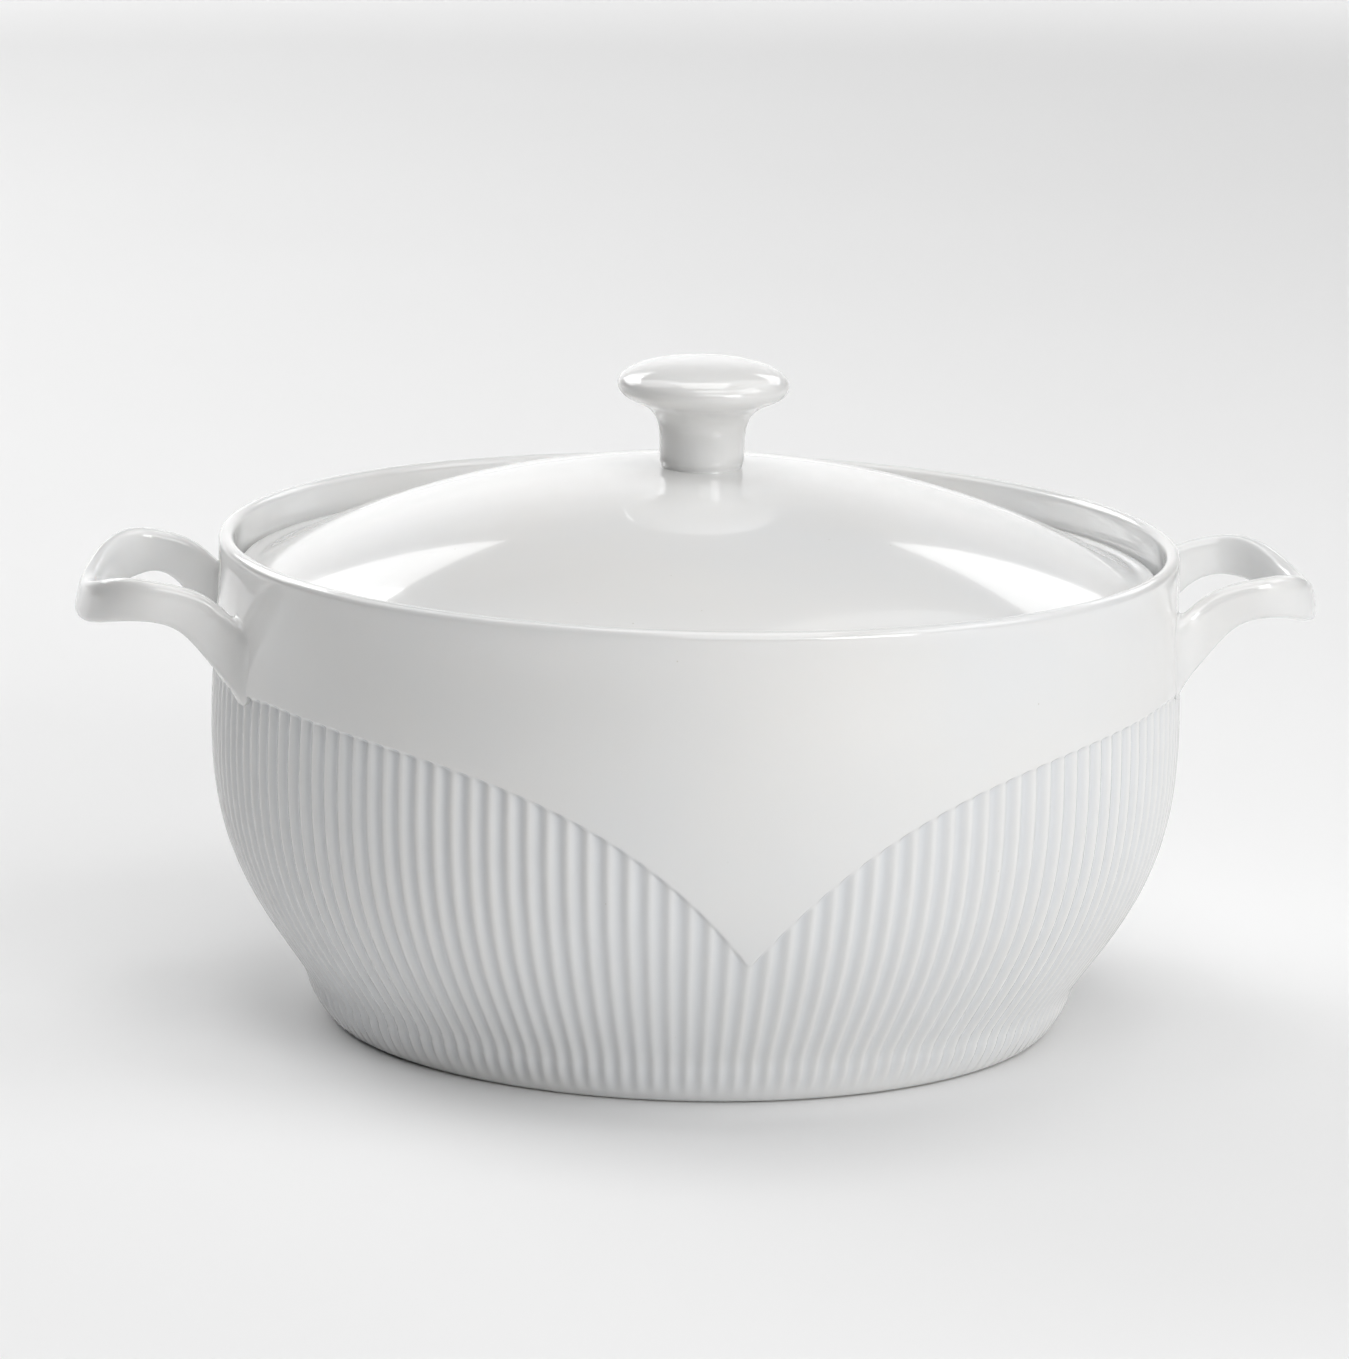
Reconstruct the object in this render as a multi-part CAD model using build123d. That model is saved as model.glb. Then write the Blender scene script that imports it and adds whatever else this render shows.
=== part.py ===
from build123d import *
import math
import os

# Covered casserole dish in glazed white porcelain: a fluted bowl on a foot
# ring with a smooth collar that drops to a point front and back, two
# ribbon-loop handles, a domed lid that sits in a gallery inside the rim, and
# a mushroom knob. Millimetres, +Z up, origin on the resting plane at the
# centre of the foot. The handles lie along X.

# ---- driving dimensions -----------------------------------------------------
RIM_Z = 129.2            # top of the rim
RIM_ROUND = 2.0          # half the rim's wall thickness, rounded over
RIM_OUT_R = 127.75       # outside radius just below the rim
GALLERY_R = 123.5        # wall of the recess that the lid drops into
LEDGE_Z = 117.0          # seat of the lid
LEDGE_IN_R = 116.0       # inner edge of the seat
COLLAR_PROUD = 0.3       # how far the collar stands out over the rib crests
FOOT_R = 96.2            # outside of the foot ring at the resting plane
FOOT_IN_R = 89.6         # inside of the foot ring at the resting plane
RECESS_Z = 4.6           # underside of the base inside the foot ring
FLOOR_Z = 9.8            # inside floor of the bowl

LID_EDGE_R = 122.3       # outside of the lid's seating flange
LID_FLANGE_Z = 117.3     # underside of the flange, just over the seat
LID_FLANGE_T = 3.1       # thickness of the flange
LID_DOME_R = 117.8       # foot of the dome
LID_DOME_Z = 119.6
LID_TOP_Z = 148.3        # crown of the dome
LID_POWER = 2.15         # flatness of the crown
LID_WALL = 4.4
SKIRT_OUT_R = 114.8      # locating skirt under the lid
SKIRT_IN_R = 111.2
SKIRT_Z = 109.5

KNOB_R = 22.6            # cap of the knob
KNOB_NECK_R = 11.6
KNOB_H = 29.0            # knob height over the crown of the lid

HANDLE_X = 166.0         # outermost point of a handle
HANDLE_HALF_W = 33.1     # half the width of the loop over its branches
HANDLE_T = 4.9           # thickness of the ribbon
HANDLE_BEND_X = 143.1    # where the straight branches start to bend round

# Crest profile of the fluted body, (z, r).
FOOT_PTS = [(0.9, 97.8), (2.6, 99.1), (5.4, 101.0), (8.0, 102.5), (10.0, 103.2)]
BODY_PTS = [(10.0, 103.2), (16.0, 106.3), (20.0, 108.9), (24.0, 111.8), (28.0, 114.5),
            (32.0, 117.0), (38.0, 120.3), (45.0, 123.5), (55.0, 126.5), (65.0, 128.3),
            (75.0, 129.1), (85.0, 129.2), (95.0, 128.6), (110.0, 127.8), (124.0, 127.3)]
# Inside of the bowl, (z, r), from under the ledge to the floor.
INNER_PTS = [(104.0, 122.3), (95.0, 123.1), (85.0, 123.6), (75.0, 123.4), (65.0, 122.5),
             (55.0, 120.6), (45.0, 117.4), (38.0, 114.0), (32.0, 110.4), (26.0, 105.6),
             (20.0, 99.0), (15.5, 91.5), (12.2, 82.0), (10.4, 70.0), (FLOOR_Z, 55.0)]
# Lower edge of the collar, (degrees from the front, z), the same on both sides.
COLLAR_EDGE = [(0.0, 41.8), (1.2, 44.9), (2.7, 49.4), (4.6, 54.2), (6.3, 58.2), (8.5, 62.3),
               (11.5, 67.8), (15.0, 73.0), (18.6, 77.3), (22.3, 80.9), (26.1, 83.9),
               (30.0, 86.4), (34.0, 88.5), (40.5, 90.9), (47.7, 92.7), (55.7, 93.9),
               (64.0, 94.4), (69.0, 93.6), (75.0, 92.0), (90.0, 91.8)]
# Side view of the ribbon of a handle, (x, z).
RIBBON_TOP = [(112.0, 98.0), (119.0, 106.8), (126.0, 115.0), (132.0, 120.1), (138.0, 122.4),
              (144.0, 123.6), (150.0, 124.2), (156.0, 123.0), (161.0, 119.8), (168.0, 113.2)]
RIBBON_LOW = [(168.0, 106.4), (161.0, 108.9), (156.0, 111.3), (150.0, 112.9), (144.0, 113.1),
              (138.0, 110.3), (132.0, 103.3), (126.0, 94.2), (119.0, 85.6), (112.0, 77.0)]


def body_r(z):
    """Crest radius of the body at a height, between the points of its profile."""
    for (z0, r0), (z1, r1) in zip(BODY_PTS, BODY_PTS[1:]):
        if z0 <= z <= z1:
            return r0 + (r1 - r0) * (z - z0) / (z1 - z0)
    return BODY_PTS[0][1] if z < BODY_PTS[0][0] else BODY_PTS[-1][1]


def turned(points_and_edges):
    """A solid of revolution about Z from the edges of a closed XZ outline."""
    face = make_face(Wire(points_and_edges))
    return revolve(face, axis=Axis.Z, revolution_arc=360)


def line(a, b):
    return Line((a[0], 0, a[1]), (b[0], 0, b[1]))


def curve(pts):
    return Spline(*[(r, 0, z) for r, z in pts])


# ---- bowl -------------------------------------------------------------------
foot = [(r, z) for z, r in FOOT_PTS]
body = [(r, z) for z, r in BODY_PTS]
inner = [(r, z) for z, r in INNER_PTS]
rim_mid_r = RIM_OUT_R - RIM_ROUND
rim_shoulder_z = RIM_Z - RIM_ROUND - 0.1
outer_edges = [
    line((FOOT_IN_R + 0.9, 0), (FOOT_R, 0)),
    line((FOOT_R, 0), foot[0]),
    curve(foot),
    curve(body),
    line(body[-1], (RIM_OUT_R, rim_shoulder_z)),
    ThreePointArc((RIM_OUT_R, 0, rim_shoulder_z), (rim_mid_r + 0.06, 0, RIM_Z),
                  (GALLERY_R, 0, rim_shoulder_z)),
]
bowl = turned(outer_edges + [
    line((GALLERY_R, rim_shoulder_z), (GALLERY_R, LEDGE_Z)),
    line((GALLERY_R, LEDGE_Z), (LEDGE_IN_R, LEDGE_Z)),
    line((LEDGE_IN_R, LEDGE_Z), (LEDGE_IN_R, LEDGE_Z - 4.0)),
    line((LEDGE_IN_R, LEDGE_Z - 4.0), inner[0]),
    curve(inner),
    line(inner[-1], (0, FLOOR_Z)),
    line((0, FLOOR_Z), (0, RECESS_Z)),
    line((0, RECESS_Z), (FOOT_IN_R - 3.0, RECESS_Z)),
    line((FOOT_IN_R - 3.0, RECESS_Z), (FOOT_IN_R, 1.0)),
    line((FOOT_IN_R, 1.0), (FOOT_IN_R + 0.9, 0)),
])

# The collar is a skin over the fluted body, cut off along its lower edge.
skin_in = 1.2
collar_pts = [(r + COLLAR_PROUD, z) for z, r in BODY_PTS if z >= 38.0]
collar = turned([
    line((collar_pts[0][0] - COLLAR_PROUD - skin_in, 38.0), collar_pts[0]),
    curve(collar_pts),
    line(collar_pts[-1], (RIM_OUT_R, rim_shoulder_z)),
    line((RIM_OUT_R, rim_shoulder_z), (RIM_OUT_R - 1.5, rim_shoulder_z)),
    line((RIM_OUT_R - 1.5, rim_shoulder_z), (collar_pts[0][0] - COLLAR_PROUD - skin_in, 60.0)),
    line((collar_pts[0][0] - COLLAR_PROUD - skin_in, 60.0),
         (collar_pts[0][0] - COLLAR_PROUD - skin_in, 38.0)),
])
edge = []
for deg, z in COLLAR_EDGE:
    edge.append((body_r(z) * math.sin(math.radians(deg)), z))
right = edge[1:-1]
side_z = COLLAR_EDGE[-1][1]
window = [(-140, side_z)] + [(-x, z) for x, z in reversed(right)] + [edge[0]] + right + [(140, side_z)]
window += [(140, 135), (-140, 135)]
curtain_face = make_face(Polyline(*[(x, 0, z) for x, z in window], close=True))
curtain = extrude(curtain_face, amount=140, dir=(0, 1, 0), both=True)
bowl = bowl + (collar & curtain)
bowl.label = "bowl"

# ---- handles ----------------------------------------------------------------
# The outside of the bowl as a full solid, to end each handle on the wall.
bowl_full = turned(
    [curve(collar_pts),
     line(collar_pts[-1], (RIM_OUT_R, rim_shoulder_z)),
     line((RIM_OUT_R, rim_shoulder_z), (0, rim_shoulder_z)),
     line((0, rim_shoulder_z), (0, 38.0)),
     line((0, 38.0), collar_pts[0])])


def handle(side):
    """One ribbon loop: the plan of the loop cut by the side view of the ribbon."""
    hw, t, xb = HANDLE_HALF_W, HANDLE_T, HANDLE_BEND_X
    plan = Pos((100.0 + xb) / 2, 0, 0) * Rectangle(xb - 100.0, 2 * hw)
    plan += Pos(xb, 0, 0) * Ellipse(HANDLE_X - xb, hw)
    hole = Pos((90.0 + xb) / 2, 0, 0) * Rectangle(xb - 90.0, 2 * (hw - t))
    hole += Pos(xb, 0, 0) * Ellipse(HANDLE_X - t - xb, hw - t)
    ring = extrude(Pos(0, 0, 75) * (plan - hole), amount=55)
    outline = [Spline(*[(x, 0, z) for x, z in RIBBON_TOP]),
               Line((RIBBON_TOP[-1][0], 0, RIBBON_TOP[-1][1]), (RIBBON_LOW[0][0], 0, RIBBON_LOW[0][1])),
               Spline(*[(x, 0, z) for x, z in RIBBON_LOW]),
               Line((RIBBON_LOW[-1][0], 0, RIBBON_LOW[-1][1]), (RIBBON_TOP[0][0], 0, RIBBON_TOP[0][1]))]
    band = extrude(make_face(Wire(outline)), amount=60, dir=(0, 1, 0), both=True)
    loop = (ring & band) - bowl_full - bowl
    solid = max(loop.solids(), key=lambda s: s.volume)
    if side < 0:
        solid = solid.rotate(Axis.Z, 180)
    return solid


handle_right = handle(1)
handle_left = handle(-1)

# ---- lid --------------------------------------------------------------------


def dome_z(r):
    """Height of the lid's outer surface at a radius."""
    drop = LID_TOP_Z - LID_DOME_Z
    return LID_TOP_Z - drop * (r / LID_DOME_R) ** LID_POWER


dome = [(r, dome_z(r)) for r in (0.0, 12.0, 25.0, 40.0, 55.0, 70.0, 85.0, 98.0, 109.0, LID_DOME_R)]
under = []
for r in (SKIRT_IN_R - 1.2, 98.0, 84.0, 68.0, 50.0, 32.0, 16.0, 0.0):
    slope = (LID_TOP_Z - LID_DOME_Z) * LID_POWER / LID_DOME_R * (r / LID_DOME_R) ** (LID_POWER - 1)
    under.append((r, dome_z(r) - LID_WALL * math.sqrt(1 + slope * slope)))
flange_top = LID_FLANGE_Z + LID_FLANGE_T
dome_edge = Spline(*[(r, 0, z) for r, z in dome], tangents=[(1, 0, 0), (dome[-1][0] - dome[-2][0], 0, dome[-1][1] - dome[-2][1])])
lid = turned([
    dome_edge,
    line(dome[-1], (LID_DOME_R + 0.9, LID_DOME_Z)),
    line((LID_DOME_R + 0.9, LID_DOME_Z), (LID_EDGE_R - 1.2, LID_DOME_Z)),
    ThreePointArc((LID_EDGE_R - 1.2, 0, LID_DOME_Z),
                  (LID_EDGE_R, 0, (LID_DOME_Z + LID_FLANGE_Z) / 2),
                  (LID_EDGE_R - 1.0, 0, LID_FLANGE_Z)),
    line((LID_EDGE_R - 1.0, LID_FLANGE_Z), (SKIRT_OUT_R, LID_FLANGE_Z)),
    line((SKIRT_OUT_R, LID_FLANGE_Z), (SKIRT_OUT_R - 0.4, SKIRT_Z + 0.8)),
    line((SKIRT_OUT_R - 0.4, SKIRT_Z + 0.8), (SKIRT_OUT_R - 1.2, SKIRT_Z)),
    line((SKIRT_OUT_R - 1.2, SKIRT_Z), (SKIRT_IN_R + 0.8, SKIRT_Z)),
    line((SKIRT_IN_R + 0.8, SKIRT_Z), (SKIRT_IN_R, SKIRT_Z + 0.8)),
    line((SKIRT_IN_R, SKIRT_Z + 0.8), under[0]),
    Spline(*[(r, 0, z) for r, z in under],
           tangents=[(under[1][0] - under[0][0], 0, under[1][1] - under[0][1]), (-1, 0, 0)]),
    line((0, under[-1][1]), (0, LID_TOP_Z)),
])
lid.label = "lid"

# ---- knob -------------------------------------------------------------------
knob_foot_z = dome_z(16.5) - 2.0
z0 = LID_TOP_Z
neck = [(16.2, dome_z(16.2) - 0.2), (13.4, z0 + 1.0), (KNOB_NECK_R + 0.3, z0 + 3.8), (KNOB_NECK_R, z0 + 8.0),
        (12.3, z0 + 12.4), (14.6, z0 + 15.4), (18.4, z0 + 17.8), (21.4, z0 + 19.8),
        (KNOB_R, z0 + 22.0), (21.7, z0 + 24.4), (18.4, z0 + 26.5), (12.4, z0 + 28.1),
        (6.0, z0 + 28.8), (0.0, z0 + KNOB_H)]
knob = turned([
    line((0, knob_foot_z), (16.2, knob_foot_z)),
    line((16.2, knob_foot_z), neck[0]),
    Spline(*[(r, 0, z) for r, z in neck], tangents=[(-1, 0, 0.35), (-1, 0, 0)]),
    line((0, z0 + KNOB_H), (0, knob_foot_z)),
])
dome_full = turned([
    dome_edge,
    line(dome[-1], (LID_DOME_R, LID_DOME_Z - 12)),
    line((LID_DOME_R, LID_DOME_Z - 12), (0, LID_DOME_Z - 12)),
    line((0, LID_DOME_Z - 12), (0, LID_TOP_Z)),
])
knob = knob - dome_full
knob = max(knob.solids(), key=lambda s: s.volume)

# ---- write ------------------------------------------------------------------
os.makedirs("parts", exist_ok=True)
for name, shape in (("bowl", bowl), ("handle_left", handle_left), ("handle_right", handle_right),
                    ("lid", lid), ("lid_knob", knob)):
    solids = shape.solids()
    print(name, len(solids), round(sum(s.volume for s in solids)))
    export_step(solids[0] if len(solids) == 1 else shape, "parts/" + name + ".step")
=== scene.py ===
import bpy
import math
import numpy as np
from mathutils import Matrix, Vector


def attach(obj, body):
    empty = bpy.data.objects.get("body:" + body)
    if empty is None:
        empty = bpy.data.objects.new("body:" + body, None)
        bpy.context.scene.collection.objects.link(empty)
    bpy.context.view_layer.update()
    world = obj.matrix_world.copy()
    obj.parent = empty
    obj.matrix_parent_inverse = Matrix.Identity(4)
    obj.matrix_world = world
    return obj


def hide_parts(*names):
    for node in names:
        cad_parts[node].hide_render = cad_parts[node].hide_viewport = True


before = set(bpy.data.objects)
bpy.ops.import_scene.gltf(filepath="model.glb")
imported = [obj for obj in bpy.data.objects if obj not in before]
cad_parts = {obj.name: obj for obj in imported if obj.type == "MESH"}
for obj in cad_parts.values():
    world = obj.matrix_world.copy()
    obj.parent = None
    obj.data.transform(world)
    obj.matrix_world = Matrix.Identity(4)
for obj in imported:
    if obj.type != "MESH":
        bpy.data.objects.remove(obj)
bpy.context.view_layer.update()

MM = 0.001

# ---------------------------------------------------------------------------
# Shape of the dish, in millimetres, as in the CAD frame
# ---------------------------------------------------------------------------
RIM_Z = 129.2
RIM_ROUND = 2.0
RIM_OUT_R = 127.75
GALLERY_R = 123.55
LEDGE_Z = 117.0
LEDGE_IN_R = 116.0
COLLAR_PROUD = 0.3
RIBS = 154
RIB_DEPTH = 0.95
SUB = 8                      # columns per rib
FINE = RIBS * SUB
COARSE = FINE // 4

BODY_PTS = [(10.0, 102.1), (16.0, 106.1), (20.0, 108.9), (24.0, 111.8), (28.0, 114.5),
            (32.0, 117.0), (38.0, 120.3), (45.0, 123.5), (55.0, 126.5), (65.0, 128.3),
            (75.0, 129.1), (85.0, 129.2), (95.0, 128.6), (110.0, 127.8), (124.0, 127.3)]
_z = np.array([p[0] for p in BODY_PTS])
_r = np.array([p[1] for p in BODY_PTS])
_zc, _zs = 67.0, 57.0
_w = np.ones(len(_z))
_w[0] = _w[-1] = 4.0
BODY_FIT = np.polyfit((_z - _zc) / _zs, _r, 6, w=_w)


def smooth01(t):
    t = np.clip(t, 0.0, 1.0)
    return t * t * t * (t * (6.0 * t - 15.0) + 10.0)


def crest_r(z):
    """Radius of the rib crests, one smooth curve from the foot to the rim."""
    return np.polyval(BODY_FIT, (np.asarray(z, float) - _zc) / _zs)


def foot_r(z):
    """The foot: a short rounded band that swells out a little under the body."""
    zz = np.array([0.0, 0.25, 0.9, 2.6, 4.6, 6.8, 8.6, 10.0, 11.5, 13.0])
    rr = np.array([96.2, 96.9, 97.8, 99.2, 100.6, 101.9, 102.6, 103.0, 103.4, 104.1])
    return np.interp(z, zz, rr)


def collar_edge(deg):
    """Height of the lower edge of the collar, by degrees from the middle of the front."""
    a = np.abs(((np.asarray(deg, float) + 90.0) % 180.0) - 90.0)   # same at the back
    t = np.sqrt(a * a + 0.45 ** 2) - 0.45
    z = 95.3 - 53.5 * np.exp(-(0.0565 * t + 0.000135 * t * t))
    dip = smooth01((a - 63.0) / 13.0)
    return z - 1.5 * dip


def mesh_object(name, verts, faces, material, smooth=True, sharp=None):
    me = bpy.data.meshes.new(name)
    v = np.asarray(verts, float) * MM
    me.from_pydata(v.tolist(), [], faces)
    me.materials.append(material)
    for p in me.polygons:
        p.use_smooth = smooth
    if sharp is not None:
        for e in me.edges:
            a, b = e.vertices
            if sharp(a, b):
                e.use_edge_sharp = True
    me.validate()
    me.update()
    ob = bpy.data.objects.new(name, me)
    bpy.context.scene.collection.objects.link(ob)
    return ob


def lathe(rows, n):
    """A closed turned piece from a list of (r, z); the first and last lie on the axis."""
    th = np.arange(n) * 2 * math.pi / n
    verts, faces, ring = [], [], []
    for r, z in rows:
        if r < 1e-6:
            ring.append([len(verts)])
            verts.append((0.0, 0.0, z))
        else:
            ring.append(list(range(len(verts), len(verts) + n)))
            verts += [(r * math.sin(t), -r * math.cos(t), z) for t in th]
    for a, b in zip(ring, ring[1:]):
        for i in range(n):
            j = (i + 1) % n
            if len(a) == 1 and len(b) == 1:
                continue
            if len(a) == 1:
                faces.append((a[0], b[i], b[j]))
            elif len(b) == 1:
                faces.append((a[i], b[0], a[j]))
            else:
                faces.append((a[i], b[i], b[j], a[j]))
    return verts, faces


def spline_pts(ctrl, n, closed=False):
    """Points on a uniform cubic B-spline over rows of control values, ends held."""
    c = np.asarray(ctrl, float)
    c = np.vstack([2 * c[0] - c[1], c, 2 * c[-1] - c[-2]])
    seg = len(c) - 3
    out = []
    for k in range(n):
        t = seg * k / (n - 1)
        i = min(int(t), seg - 1)
        u = t - i
        b = np.array([(1 - u) ** 3, 3 * u ** 3 - 6 * u ** 2 + 4, -3 * u ** 3 + 3 * u ** 2 + 3 * u + 1, u ** 3]) / 6.0
        out.append(b @ c[i:i + 4])
    return np.array(out)


def arc_pts(cx, cz, r, a0, a1, n):
    """Points on an arc in the (r, z) plane, angles in degrees from +r towards +z."""
    return [(cx + r * math.cos(math.radians(a)), cz + r * math.sin(math.radians(a)))
            for a in np.linspace(a0, a1, n)]


# ---------------------------------------------------------------------------
# Materials
# ---------------------------------------------------------------------------


def glaze(name, base, cool, warm, foot=False, inside=False):
    """White porcelain under a clear, thick, slightly uneven glaze."""
    m = bpy.data.materials.new(name)
    m.use_nodes = True
    nt = m.node_tree
    nt.nodes.clear()
    N, L = nt.nodes.new, nt.links.new
    out = N("ShaderNodeOutputMaterial")
    bsdf = N("ShaderNodeBsdfPrincipled")
    L(bsdf.outputs[0], out.inputs[0])
    tex = N("ShaderNodeTexCoord")
    bsdf.inputs["IOR"].default_value = 1.5
    bsdf.inputs["Coat Weight"].default_value = 0.55
    bsdf.inputs["Coat Roughness"].default_value = 0.035
    bsdf.inputs["Coat IOR"].default_value = 1.52
    bsdf.inputs["Subsurface Weight"].default_value = 0.06
    bsdf.inputs["Subsurface Radius"].default_value = (0.004, 0.0034, 0.003)
    bsdf.inputs["Subsurface Scale"].default_value = 1.0

    # broad, very soft drift of tone, as glaze thickness varies over a fired piece
    broad = N("ShaderNodeTexNoise")
    broad.inputs["Scale"].default_value = 14.0
    broad.inputs["Detail"].default_value = 3.0
    broad.inputs["Roughness"].default_value = 0.5
    L(tex.outputs["Object"], broad.inputs["Vector"])
    ramp = N("ShaderNodeValToRGB")
    ramp.color_ramp.elements[0].position = 0.32
    ramp.color_ramp.elements[0].color = (*cool, 1)
    ramp.color_ramp.elements[1].position = 0.68
    ramp.color_ramp.elements[1].color = (*warm, 1)
    mid = ramp.color_ramp.elements.new(0.5)
    mid.color = (*base, 1)
    L(broad.outputs["Fac"], ramp.inputs["Fac"])
    color = ramp.outputs["Color"]

    # fine iron specks, rare and faint
    cell = N("ShaderNodeTexVoronoi")
    cell.feature = "F1"
    cell.inputs["Scale"].default_value = 95.0
    L(tex.outputs["Object"], cell.inputs["Vector"])
    speck = N("ShaderNodeMapRange")
    speck.inputs["From Min"].default_value = 0.012
    speck.inputs["From Max"].default_value = 0.028
    speck.inputs["To Min"].default_value = 0.0
    speck.inputs["To Max"].default_value = 1.0
    L(cell.outputs["Distance"], speck.inputs["Value"])
    mixs = N("ShaderNodeMix")
    mixs.data_type = "RGBA"
    mixs.inputs["A"].default_value = (base[0] * 0.80, base[1] * 0.78, base[2] * 0.73, 1)
    L(speck.outputs["Result"], mixs.inputs["Factor"])
    L(color, mixs.inputs["B"])
    color = mixs.outputs["Result"]

    # painted shade: the grooves of the fluting are painted a little cooler and darker, standing in for the shade that
    # falls in them
    groove_shade = N("ShaderNodeAttribute")
    groove_shade.attribute_name = "groove_shade"
    groove_shade.attribute_type = "GEOMETRY"
    groove_shade_mix = N("ShaderNodeMix")
    groove_shade_mix.data_type = "RGBA"
    L(groove_shade.outputs["Fac"], groove_shade_mix.inputs["Factor"])
    L(color, groove_shade_mix.inputs["A"])
    groove_shade_mix.inputs["B"].default_value = (cool[0] * 0.90, cool[1] * 0.91, cool[2] * 0.925, 1)
    color = groove_shade_mix.outputs["Result"]

    # roughness of the glaze, and fine polish marks
    fine = N("ShaderNodeTexNoise")
    fine.inputs["Scale"].default_value = 60.0
    fine.inputs["Detail"].default_value = 4.0
    L(tex.outputs["Object"], fine.inputs["Vector"])
    rr = N("ShaderNodeMapRange")
    rr.inputs["From Min"].default_value = 0.3
    rr.inputs["From Max"].default_value = 0.7
    rr.inputs["To Min"].default_value = 0.085
    rr.inputs["To Max"].default_value = 0.15
    L(fine.outputs["Fac"], rr.inputs["Value"])
    rough = rr.outputs["Result"]

    # orange-peel of the glaze: millimetre-wide, microns deep
    peel = N("ShaderNodeTexNoise")
    peel.inputs["Scale"].default_value = 160.0
    peel.inputs["Detail"].default_value = 2.0
    L(tex.outputs["Object"], peel.inputs["Vector"])
    wave = N("ShaderNodeTexNoise")
    wave.inputs["Scale"].default_value = 34.0
    wave.inputs["Detail"].default_value = 1.0
    L(tex.outputs["Object"], wave.inputs["Vector"])
    add = N("ShaderNodeMath")
    add.operation = "MULTIPLY_ADD"
    add.inputs[1].default_value = 6.0
    L(wave.outputs["Fac"], add.inputs[0])
    L(peel.outputs["Fac"], add.inputs[2])
    bump = N("ShaderNodeBump")
    bump.inputs["Strength"].default_value = 0.35
    bump.inputs["Distance"].default_value = 0.000012
    L(add.outputs[0], bump.inputs["Height"])
    L(bump.outputs["Normal"], bsdf.inputs["Normal"])
    L(bump.outputs["Normal"], bsdf.inputs["Coat Normal"])

    if foot:
        # the bare, ground ring that the dish stands on
        bare = N("ShaderNodeAttribute")
        bare.attribute_name = "bare"
        bare.attribute_type = "GEOMETRY"
        grit = N("ShaderNodeTexNoise")
        grit.inputs["Scale"].default_value = 900.0
        grit.inputs["Detail"].default_value = 3.0
        L(tex.outputs["Object"], grit.inputs["Vector"])
        gr = N("ShaderNodeValToRGB")
        gr.color_ramp.elements[0].color = (0.60, 0.575, 0.53, 1)
        gr.color_ramp.elements[1].color = (0.76, 0.745, 0.71, 1)
        L(grit.outputs["Fac"], gr.inputs["Fac"])
        mixb = N("ShaderNodeMix")
        mixb.data_type = "RGBA"
        L(bare.outputs["Fac"], mixb.inputs["Factor"])
        L(color, mixb.inputs["A"])
        L(gr.outputs["Color"], mixb.inputs["B"])
        color = mixb.outputs["Result"]
        mr = N("ShaderNodeMix")
        mr.data_type = "FLOAT"
        L(bare.outputs["Fac"], mr.inputs["Factor"])
        L(rough, mr.inputs["A"])
        mr.inputs["B"].default_value = 0.72
        rough = mr.outputs["Result"]
        inv = N("ShaderNodeMath")
        inv.operation = "MULTIPLY_ADD"
        inv.inputs[1].default_value = -0.55
        inv.inputs[2].default_value = 0.55
        L(bare.outputs["Fac"], inv.inputs[0])
        L(inv.outputs[0], bsdf.inputs["Coat Weight"])
    L(color, bsdf.inputs["Base Color"])
    L(rough, bsdf.inputs["Roughness"])
    return m


WHITE = (0.800, 0.800, 0.793)
COOL = (0.785, 0.792, 0.796)
WARM = (0.812, 0.806, 0.792)
glaze_body = glaze("glaze_body", WHITE, COOL, WARM, foot=True)
glaze_handle = glaze("glaze_handle", WHITE, COOL, WARM)
glaze_lid = glaze("glaze_lid", WHITE, COOL, WARM)


def attribute(ob, name, values):
    a = ob.data.attributes.new(name, "FLOAT", "POINT")
    a.data.foreach_set("value", np.asarray(values, np.float32))


# ---------------------------------------------------------------------------
# Bowl
# ---------------------------------------------------------------------------


def bowl_outer_z(deg):
    """Heights of the rows of one column of the outside, from the foot to the rim's shoulder."""
    ze = float(collar_edge(deg))
    h = 0.25
    slope = (float(collar_edge(deg + h)) - float(collar_edge(deg - h))) / (2 * h)
    r = float(crest_r(ze))
    cosp = 1.0 / math.sqrt(1.0 + (slope / (r * math.pi / 180.0)) ** 2)
    foot = [0.0, 0.25, 0.9, 2.6, 4.6, 6.8, 8.6, 9.6, 10.4]
    low = ze - 0.5 / cosp
    ribs = [10.4 + (low - 10.4) * (k / 25.0) for k in range(1, 26)]
    step = [ze + s / cosp for s in (-0.15, 0.2, 0.55, 0.9, 1.25, 1.7)]
    top = step[-1]
    collar = [top + (124.2 - top) * (k / 14.0) for k in range(1, 15)]
    return np.array(foot + ribs + step + collar), cosp, ze


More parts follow.
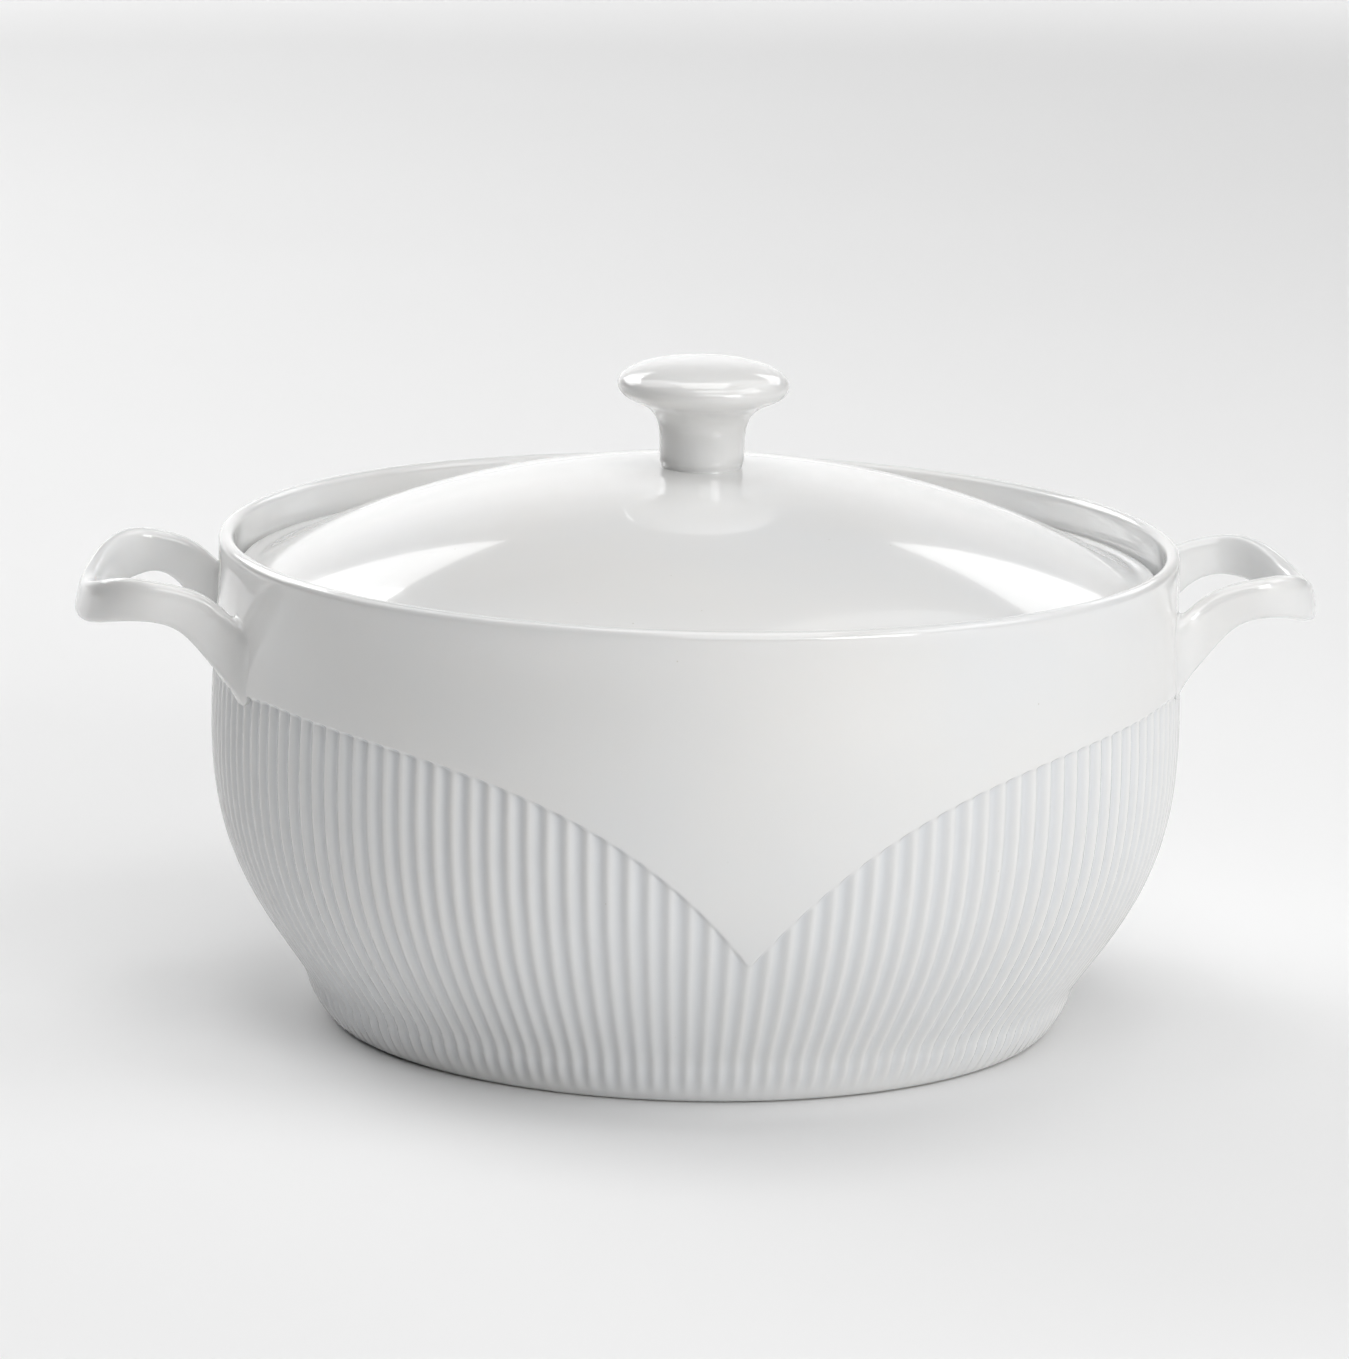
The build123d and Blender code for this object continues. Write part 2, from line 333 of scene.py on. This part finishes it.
def make_bowl():
    pitch = 360.0 / RIBS
    deg = np.arange(FINE) * 360.0 / FINE
    cols, groove_shades = [], []
    for d in deg:
        z, cosp, ze = bowl_outer_z(d)
        c = crest_r(z)
        blend = smooth01((z - 9.0) / 5.0)
        c = np.where(z < 14.0, foot_r(np.minimum(z, 13.0)) * (1 - blend) + crest_r(np.maximum(z, 9.0)) * blend, c)
        # fluting: rounded ribs, grooves a little wider than the crests, fading out on the foot
        u = (d / pitch) % 1.0                       # 0 on a crest
        g = 0.5 - 0.5 * math.cos(2 * math.pi * u)   # 1 in the groove
        g = g ** 0.85
        depth = RIB_DEPTH * smooth01((z - 0.8) / 7.0) * np.clip(c / 122.0, 0.75, 1.05)
        flute = c - depth * g
        smooth_top = c + COLLAR_PROUD
        s = (z - ze) * cosp
        w = smooth01((s + 0.15) / 1.3)
        r = flute * (1 - w) + smooth_top * w
        # run into the rim's shoulder
        e = smooth01((z - 118.0) / 6.2)
        r = r * (1 - e) + (RIM_OUT_R - 0.02) * e
        cols.append(np.stack([r, z], 1))
        # painted shade mask: 1 deep in a groove, 0 on the crests and on the smooth collar; the glaze darkens the
        # grooves by it
        groove_shades.append(depth / RIB_DEPTH * g * (1 - w))
    cols = np.array(cols)            # column, row, (r, z)
    groove_shades = np.array(groove_shades)
    nrow = cols.shape[1]
    mid = RIM_OUT_R - RIM_ROUND - 0.05
    rim = [(mid + (RIM_OUT_R - mid) * math.cos(math.radians(a)), 127.15 + 2.05 * math.sin(math.radians(a)))
           for a in (0, 18, 36, 55, 75, 95, 115, 138, 160, 180)]
    rim = [(r, z) for r, z in rim]

    verts, faces, groove_shade, bare = [], [], [], []
    th = np.radians(deg)
    sn, cs = np.sin(th), np.cos(th)
    rings = []
    # outside, fine
    for k in range(nrow):
        ring = list(range(len(verts), len(verts) + FINE))
        for i in range(FINE):
            r, z = cols[i, k]
            verts.append((r * sn[i], -r * cs[i], z))
            groove_shade.append(float(groove_shades[i, k]))
            bare.append(1.0 if k == 0 else 0.0)
        rings.append(ring)
    for r, z in rim[:3]:
        ring = list(range(len(verts), len(verts) + FINE))
        for i in range(FINE):
            verts.append((r * sn[i], -r * cs[i], z))
            groove_shade.append(0.0)
            bare.append(0.0)
        rings.append(ring)
    for a, b in zip(rings, rings[1:]):
        for i in range(FINE):
            j = (i + 1) % FINE
            faces.append((a[i], a[j], b[j], b[i]))
    top_fine, bottom_fine = rings[-1], rings[0]

    def coarse_ring(r, z, b=0.0):
        ring = list(range(len(verts), len(verts) + COARSE))
        for i in range(COARSE):
            t = 2 * math.pi * i / COARSE
            verts.append((r * math.sin(t), -r * math.cos(t), z))
            groove_shade.append(0.0)
            bare.append(b)
        return ring

    def stitch(fine, coarse, up):
        for j in range(COARSE):
            c0, c1 = coarse[j], coarse[(j + 1) % COARSE]
            f = [fine[(4 * j + k) % FINE] for k in range(5)]
            tris = [(f[0], f[1], c0), (f[1], f[2], c0), (f[2], c1, c0), (f[2], f[3], c1), (f[3], f[4], c1)]
            for t in tris:
                faces.append(t if up else t[::-1])

    def band(a, b):
        for i in range(COARSE):
            j = (i + 1) % COARSE
            faces.append((a[i], a[j], b[j], b[i]))

    # inside, coarse: rim, gallery, ledge, wall, floor
    ledge_fillet = arc_pts(GALLERY_R - 1.2, LEDGE_Z + 1.2, 1.2, 0, -90, 5)
    edge_round = arc_pts(LEDGE_IN_R + 0.9, LEDGE_Z - 0.9, 0.9, 90, 180, 4)
    inner_ctrl = [(LEDGE_IN_R, 114.6), (LEDGE_IN_R, 112.8), (117.8, 109.0), (120.9, 105.0), (122.3, 101.0), (123.1, 95.0), (123.5, 85.0),
                  (123.3, 75.0), (122.4, 65.0), (120.4, 55.0), (117.2, 45.0), (113.6, 38.0), (109.9, 32.0),
                  (105.0, 26.0), (98.4, 20.0), (91.0, 15.6), (81.5, 12.4), (69.0, 10.6), (55.0, 9.9), (40.0, 9.8)]
    inner = [tuple(p) for p in spline_pts(inner_ctrl, 44)]
    chain = rim[3:] + [(GALLERY_R, 125.0), (GALLERY_R, 122.0)] + ledge_fillet + edge_round + inner + [(22.0, 9.8), (8.0, 9.8)]
    prev = None
    for r, z in chain:
        ring = coarse_ring(r, z)
        if prev is None:
            stitch(top_fine, ring, True)
        else:
            band(prev, ring)
        prev = ring
    c = len(verts)
    verts.append((0, 0, 9.8)); groove_shade.append(0.0); bare.append(0.0)
    for i in range(COARSE):
        faces.append((prev[i], prev[(i + 1) % COARSE], c))
    # underside, coarse: bare foot, inside of the foot ring, recessed base
    under = [(95.4, 0.0, 1.0), (93.0, 0.0, 1.0), (90.7, 0.0, 1.0), (90.0, 0.3, 0.6), (89.6, 0.9, 0.0), (88.8, 2.0, 0.0),
             (87.6, 3.4, 0.0), (86.2, 4.3, 0.0), (84.0, 4.75, 0.0), (76.0, 4.8, 0.0), (50.0, 4.8, 0.0), (22.0, 4.8, 0.0), (8.0, 4.8, 0.0)]
    prev = None
    for r, z, b in under:
        ring = coarse_ring(r, z, b)
        if prev is None:
            stitch(bottom_fine, ring, False)
        else:
            for i in range(COARSE):
                j = (i + 1) % COARSE
                faces.append((prev[i], ring[i], ring[j], prev[j]))
        prev = ring
    c = len(verts)
    verts.append((0, 0, 4.8)); groove_shade.append(0.0); bare.append(0.0)
    for i in range(COARSE):
        faces.append((prev[(i + 1) % COARSE], prev[i], c))
    ob = mesh_object("bowl_fluted", verts, faces, glaze_body)
    # the painted groove shade mask and the bare foot mask go onto the bowl
    attribute(ob, "groove_shade", groove_shade)
    attribute(ob, "bare", bare)
    return ob


# ---------------------------------------------------------------------------
# Handles
# ---------------------------------------------------------------------------
SECTION = 36
HANDLE_W = 30.65             # half the width of the loop, on the middle of the ribbon
BEND_X = 143.1               # where the branches start to bend round
REACH_X = 162.5              # outermost point of the middle of the ribbon
TOP_X = [118.0, 122.0, 126.0, 132.0, 138.0, 144.0, 150.0, 156.0, 161.0, 166.0]
TOP_Z = [106.2, 110.9, 115.1, 120.2, 122.8, 124.1, 124.7, 123.5, 120.1, 115.0]
LOW_Z = [88.6, 92.3, 96.1, 103.4, 110.3, 113.3, 113.5, 111.9, 109.5, 107.2]


def natural_spline(xk, yk):
    """Natural cubic spline through the knots, as a function."""
    xk, yk = np.asarray(xk, float), np.asarray(yk, float)
    n = len(xk)
    h = np.diff(xk)
    A = np.eye(n)
    b = np.zeros(n)
    for i in range(1, n - 1):
        A[i, i - 1], A[i, i], A[i, i + 1] = h[i - 1], 2 * (h[i - 1] + h[i]), h[i]
        b[i] = 6 * ((yk[i + 1] - yk[i]) / h[i] - (yk[i] - yk[i - 1]) / h[i - 1])
    m = np.linalg.solve(A, b)

    def f(x):
        x = np.clip(x, xk[0], xk[-1])
        i = np.clip(np.searchsorted(xk, x) - 1, 0, n - 2)
        a = (xk[i + 1] - x) / h[i]
        c = (x - xk[i]) / h[i]
        return a * yk[i] + c * yk[i + 1] + ((a ** 3 - a) * m[i] + (c ** 3 - c) * m[i + 1]) * h[i] ** 2 / 6
    return f


top_z = natural_spline(TOP_X, TOP_Z)
low_z = natural_spline(TOP_X, LOW_Z)


def wall_r(z):
    return crest_r(z) + COLLAR_PROUD


def section(w, h, lean):
    """Rounded ribbon section about its centre: (outwards, up) pairs and their normals."""
    t = 2 * math.pi * np.arange(SECTION) / SECTION
    p = 3.2
    a, b = w / 2.0, h / 2.0
    c, s = np.cos(t), np.sin(t)
    x = a * np.sign(c) * np.abs(c) ** (2 / p)
    y = b * np.sign(s) * np.abs(s) ** (2 / p)
    nx = np.sign(x) * np.abs(x / a) ** (p - 1) / a
    ny = np.sign(y) * np.abs(y / b) ** (p - 1) / b
    q = np.hypot(nx, ny)
    nx, ny = nx / q, ny / q
    cl, sl = math.cos(lean), math.sin(lean)
    # the top leans in over the hole, the lower edge stands out
    return (np.stack([x * cl - y * sl, x * sl + y * cl], 1),
            np.stack([nx * cl - ny * sl, nx * sl + ny * cl], 1))


def make_handle(side, name, tilt, lift, reach, skew, drop):
    """One ribbon loop. tilt and lift set it as it stands on the bowl; all ends on the wall.
    drop deepens the ribbon of the back branch where it turns into the bar."""
    tan = math.tan(math.radians(tilt))

    def thick(x):
        return 4.6 + 0.3 * min(max((x - 145.0) / 15.0, 0.0), 1.0)

    def lean(x):
        u = min(max((x - 140.0) / (REACH_X - 140.0), 0.0), 1.0)
        return math.radians(11.0) * u * u

    def place(x, y, z):
        """From the plain loop to this one; the branches stay where they meet the wall."""
        u = min(max((x - 128.0) / 34.0, 0.0), 1.0)
        return (x + reach * u - skew * u * y / 30.0, y, z + lift + tan * (y + 31.0))

    # middle line of the loop in plan
    line = [(x, -HANDLE_W) for x in np.linspace(137.0, BEND_X, 6)[:-1]]
    n = 2.08
    for t in np.linspace(0, math.pi, 75):
        c, s = math.cos(t), math.sin(t)
        line.append((BEND_X + (REACH_X - BEND_X) * abs(s) ** (2 / n), -HANDLE_W * math.copysign(abs(c) ** (2 / n), c)))
    line += [(x, HANDLE_W) for x in np.linspace(BEND_X, 137.0, 6)[1:]]
    L = np.array(line)
    T = np.gradient(L, axis=0)
    T /= np.linalg.norm(T, axis=1)[:, None]
    rings = []
    for (x, y), (tx, ty) in zip(L, T):
        zt, zb = float(top_z(x)), float(low_z(x))
        zb -= drop * float(smooth01((y + 12.0) / 30.0)) * float(smooth01((x - 138.0) / 16.0))
        le = lean(x)
        pts, _ = section(thick(x), (zt - zb) / math.cos(le) * 0.99, le)
        zc = (zt + zb) / 2
        rings.append([place(x + p[0] * ty, y - p[0] * tx, zc + p[1]) for p in pts])

    R_OUT, R_IN, R_UP, R_DN = 8.0, 3.2, 2.6, 1.2

    def root(front):
        s = -1.0 if front else 1.0
        _, nr = section(4.6, 20.0, 0.0)
        # blend radius across and up the wall for every line of the ribbon's skin
        ry = np.where(nr[:, 0] > 0, R_OUT, R_IN)
        rz = np.where(nr[:, 1] > 0, R_UP, R_DN)
        Rr = nr[:, 0] ** 2 * ry + nr[:, 1] ** 2 * rz

        def point(i, x, o):
            pts, n2 = section(thick(x), (float(top_z(x)) - float(low_z(x))) * 0.99, 0.0)
            return (HANDLE_W * s + s * (pts[i, 0] + n2[i, 0] * ry[i] * o),
                    (float(top_z(x)) + float(low_z(x))) / 2 + pts[i, 1] + n2[i, 1] * rz[i] * o)

        def on_wall(i, d, o):
            """The point of the ribbon's skin that is d out from the wall, pushed out by o of its radius."""
            x = 127.0 + d
            for _ in range(5):
                y, z = point(i, x, o)
                _, _, zw = place(x, y, z)
                x = math.sqrt(max(float(wall_r(zw)) ** 2 - y * y, 1.0)) + d
            y, z = point(i, x, o)
            return x, y, z

        out = []
        start = [on_wall(i, Rr[i], 0.0)[0] for i in range(SECTION)]
        for k in range(1, 7):
            f = k / 7.0
            ring = []
            for i in range(SECTION):
                x = 136.0 * (1 - f) + start[i] * f
                y, z = point(i, x, 0.0)
                ring.append(place(x, y, z))
            out.append(ring)
        for phi in (0, 10, 20, 30, 40, 50, 60, 70, 79, 86, 90):
            ph = math.radians(phi)
            ring = []
            for i in range(SECTION):
                x, y, z = on_wall(i, Rr[i] * (1 - math.sin(ph)), 1 - math.cos(ph))
                x, y, z = place(x, y, z)
                ring.append((x - (0.03 if phi == 90 else 0.0), y, z))
            out.append(ring)
        out.append([(x - 2.0, y, z) for x, y, z in out[-1]])
        return out

    allr = root(True)[::-1] + rings + root(False)
    verts = [p for ring in allr for p in ring]
    faces = []
    m = SECTION
    for k in range(len(allr) - 1):
        for i in range(m):
            j = (i + 1) % m
            faces.append((k * m + i, k * m + j, (k + 1) * m + j, (k + 1) * m + i))
    faces.append(tuple(range(m))[::-1])
    last = (len(allr) - 1) * m
    faces.append(tuple(range(last, last + m)))
    if side < 0:
        verts = [(-x, y, z) for x, y, z in verts]
    else:
        faces = [f[::-1] for f in faces]
    s1 = set(range(m, 2 * m))
    s2 = set(range((len(allr) - 2) * m, (len(allr) - 1) * m))
    return mesh_object(name, verts, faces, glaze_handle,
                       sharp=lambda p, q: (p in s1 and q in s1) or (p in s2 and q in s2))


# ---------------------------------------------------------------------------
# Lid and knob
# ---------------------------------------------------------------------------
LID_TOP_Z = 148.3
LID_DOME_R = 117.8
LID_DOME_Z = 119.6
LID_POWER = 2.15


def dome_z(r):
    return LID_TOP_Z - (LID_TOP_Z - LID_DOME_Z) * (np.asarray(r, float) / LID_DOME_R) ** LID_POWER


def make_lid():
    rows = [(0.0, LID_TOP_Z)]
    for r in list(np.linspace(3.0, 114.0, 46)):
        rows.append((float(r), float(dome_z(r))))
    # foot of the dome runs out into the flange through a small hollow
    rows += [tuple(p) for p in spline_pts([(114.0, float(dome_z(114.0))), (116.0, float(dome_z(116.0))),
                                           (117.4, float(dome_z(117.4)) + 0.05), (118.4, 119.75), (119.4, 119.95), (120.4, 120.1)], 12)][1:]
    rows += [tuple(p) for p in spline_pts([(120.4, 120.1), (121.4, 120.15), (122.25, 119.9), (122.35, 118.9), (122.3, 117.9),
                                           (121.9, 117.35), (121.0, 117.3)], 14)][1:]
    rows += [(118.0, 117.3), (115.6, 117.3)]
    rows += arc_pts(115.6, 116.5, 0.8, 90, 180, 5)[1:]
    rows += [(114.7, 114.0), (114.5, 111.4), (114.3, 110.6), (113.9, 109.85), (113.2, 109.5), (112.3, 109.5), (111.6, 109.8), (111.25, 110.5), (111.1, 112.0)]
    ctrl = [(111.0, 114.5), (110.6, 117.0), (109.2, 119.3)]
    for r in (104.0, 97.0, 88.0, 77.0, 64.0, 50.0, 35.0, 20.0, 8.0):
        slope = (LID_TOP_Z - LID_DOME_Z) * LID_POWER / LID_DOME_R * (r / LID_DOME_R) ** (LID_POWER - 1)
        ctrl.append((r, float(dome_z(r)) - 4.4 * math.sqrt(1 + slope * slope)))
    rows += [tuple(p) for p in spline_pts(ctrl, 34)]
    rows.append((0.0, LID_TOP_Z - 4.4))
    v, f = lathe(rows, 256)
    ob = mesh_object("lid_dome", v, f, glaze_lid)
    # no painted groove shade on the lid
    attribute(ob, "groove_shade", [0.0] * len(v))
    return ob


def make_knob():
    z0 = LID_TOP_Z
    # the neck stands straight on the crown, with a fine joint line at its foot
    ctrl = [(10.7, z0 - 0.2), (10.7, z0 + 0.25), (10.85, z0 + 0.7), (11.15, z0 + 1.3), (11.3, z0 + 2.4), (11.3, z0 + 4.5),
            (11.35, z0 + 7.0), (11.55, z0 + 9.9), (12.2, z0 + 12.8), (13.9, z0 + 15.2), (17.2, z0 + 17.1), (20.6, z0 + 18.4),
            (22.75, z0 + 20.3), (23.0, z0 + 22.6), (21.6, z0 + 24.8), (18.2, z0 + 26.6), (13.4, z0 + 28.0), (7.5, z0 + 28.85), (2.0, z0 + 29.02)]
    prof = [tuple(p) for p in spline_pts(ctrl, 72)]
    rows = [(0.0, z0 - 1.4), (10.5, z0 - 1.4)] + prof + [(0.0, z0 + 29.0)]
    v, f = lathe(rows[::-1], 128)
    n = len(v)
    ob = mesh_object("knob_mushroom", v, f, glaze_lid)
    attribute(ob, "groove_shade", [0.0] * len(v))
    return ob


bowl = make_bowl()
handle_l = make_handle(-1, "handle_loop_left", 2.4, -1.5, 0.2, 1.2, 2.3)
handle_r = make_handle(1, "handle_loop_right", 0.0, -0.45, 1.2, 0.0, 0.0)
for h in (handle_l, handle_r):
    # no painted groove shade on the handles
    attribute(h, "groove_shade", [0.0] * len(h.data.vertices))
lid = make_lid()
knob = make_knob()

for ob, node, body, slot in ((bowl, "bowl", "bowl", "white_glaze_body"),
                             (handle_l, "handle_left", "bowl", "white_glaze_handles"),
                             (handle_r, "handle_right", "bowl", "white_glaze_handles"),
                             (lid, "lid", "lid", "white_glaze_lid"),
                             (knob, "lid_knob", "lid", "white_glaze_lid")):
    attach(ob, body)
    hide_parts(node)

# ---------------------------------------------------------------------------
# Studio
# ---------------------------------------------------------------------------
scene = bpy.context.scene
scene.view_settings.view_transform = "Standard"
scene.view_settings.look = "None"


def floor_material():
    m = bpy.data.materials.new("studio_floor")
    m.use_nodes = True
    nt = m.node_tree
    b = nt.nodes["Principled BSDF"]
    b.inputs["Roughness"].default_value = 0.85
    b.inputs["Specular IOR Level"].default_value = 0.2
    tex = nt.nodes.new("ShaderNodeTexCoord")
    n = nt.nodes.new("ShaderNodeTexNoise")
    n.inputs["Scale"].default_value = 3.0
    nt.links.new(tex.outputs["Object"], n.inputs["Vector"])
    r = nt.nodes.new("ShaderNodeValToRGB")
    r.color_ramp.elements[0].color = (0.86, 0.86, 0.86, 1)
    r.color_ramp.elements[1].color = (0.88, 0.88, 0.88, 1)
    nt.links.new(n.outputs["Fac"], r.inputs["Fac"])
    nt.links.new(r.outputs["Color"], b.inputs["Base Color"])
    return m


def make_floor():
    """A pale floor that curves up into a backdrop far behind."""
    w = 6.0
    prof = [(-5.0, 0.0), (4.5, 0.0)]
    for k in range(1, 13):
        a = math.radians(90.0 * k / 12)
        prof.append((4.5 + 1.5 * math.sin(a), 1.5 - 1.5 * math.cos(a)))
    prof.append((6.0, 6.0))
    verts, faces = [], []
    for y, z in prof:
        verts += [(-w, y, z - 0.0002), (w, y, z - 0.0002)]
    for k in range(len(prof) - 1):
        faces.append((2 * k, 2 * k + 1, 2 * k + 3, 2 * k + 2))
    me = bpy.data.meshes.new("floor")
    me.from_pydata(verts, [], faces)
    for p in me.polygons:
        p.use_smooth = True
    me.materials.append(floor_material())
    ob = bpy.data.objects.new("floor", me)
    scene.collection.objects.link(ob)
    return ob


floor = make_floor()


def softbox(name, loc, target, w, h, power, color=(1, 1, 1), spread=180):
    li = bpy.data.lights.new(name, "AREA")
    li.shape = "RECTANGLE"
    li.size, li.size_y = w, h
    li.energy = power
    li.color = color
    li.spread = math.radians(spread)
    ob = bpy.data.objects.new(name, li)
    ob.location = loc
    d = Vector(target) - Vector(loc)
    ob.rotation_euler = d.to_track_quat("-Z", "Y").to_euler()
    scene.collection.objects.link(ob)
    return ob


LIGHTS = [
    ("key_right", (1.5, -0.6, 1.5), (0, 0, 0.08), 1.2, 1.2, 10.2),
    ("key_front_right", (1.3, -2.0, 0.8), (0, 0, 0.06), 1.0, 0.8, 15.8),
    ("right_low", (1.6, -1.4, 0.25), (0, 0, 0.05), 0.9, 0.4, 1.8),
    ("front", (0.2, -2.4, 1.3), (0, 0, 0.08), 1.4, 0.8, 9.5),
    ("front_high", (0.2, -1.4, 2.2), (0, 0, 0.05), 1.6, 0.8, 10.6),
    ("top", (0.0, 0.1, 1.8), (0, 0, 0.1), 1.0, 1.0, 8.4),
    ("top_left", (-1.0, 0.6, 1.6), (0, 0, 0.1), 1.2, 1.2, 6.6),
    ("top_right", (1.0, 0.6, 1.6), (0, 0, 0.1), 1.2, 1.2, 3.0),
    ("back_left", (-1.3, 1.6, 1.2), (0, 0, 0.1), 1.4, 1.0, 12.4),
    ("floor_back_left", (-1.15, 2.1, 1.5), (-0.7, 1.6, 0), 1.5, 1.0, 7.5),
    ("floor_back_right", (1.65, 2.1, 1.5), (1.1, 1.6, 0), 1.4, 1.0, 6.5),
    ("sweep", (0.0, 3.0, 2.6), (0, 4.8, 0.6), 3.0, 1.2, 44.0),
    ("sweep_left", (-1.6, 2.9, 1.6), (-1.8, 4.8, 0.5), 1.6, 1.2, 68.0),
    ("sweep_right", (1.6, 2.9, 1.6), (1.8, 4.8, 0.5), 1.6, 1.2, 36.0),
]
WORLD = 0.0
for name, loc, aim, w, h, power in LIGHTS:
    softbox(name, loc, aim, w, h, power)

world = bpy.data.worlds.new("studio")
scene.world = world
world.use_nodes = True
bg = world.node_tree.nodes["Background"]
bg.inputs["Color"].default_value = (1, 1, 1, 1)
bg.inputs["Strength"].default_value = WORLD

# ---------------------------------------------------------------------------
# Camera, at the photograph's angle
# ---------------------------------------------------------------------------
AZ, EL, ROLL = -6.9, 11.96, 1.38
DIST, F_PX = 1.900, 7093.4
TX, TZ = -0.0058, 0.02454
a, e = math.radians(AZ), math.radians(EL)
back = Vector((math.sin(a) * math.cos(e), -math.cos(a) * math.cos(e), math.sin(e)))
right = Vector((math.cos(a), math.sin(a), 0.0))
up = back.cross(right)
target = Vector((0, 0, 0.065)) + right * TX + up * TZ
rot = Matrix((right, up, back)).transposed()
cam = bpy.data.cameras.new("camera")
cam.sensor_fit = "HORIZONTAL"
cam.sensor_width = 36.0
cam.lens = F_PX * 36.0 / 1349.0
cam.clip_start, cam.clip_end = 0.05, 50.0
cam_ob = bpy.data.objects.new("camera", cam)
cam_ob.matrix_world = Matrix.Translation(target + back * DIST) @ rot.to_4x4() @ Matrix.Rotation(math.radians(ROLL), 4, "Z")
scene.collection.objects.link(cam_ob)
scene.camera = cam_ob
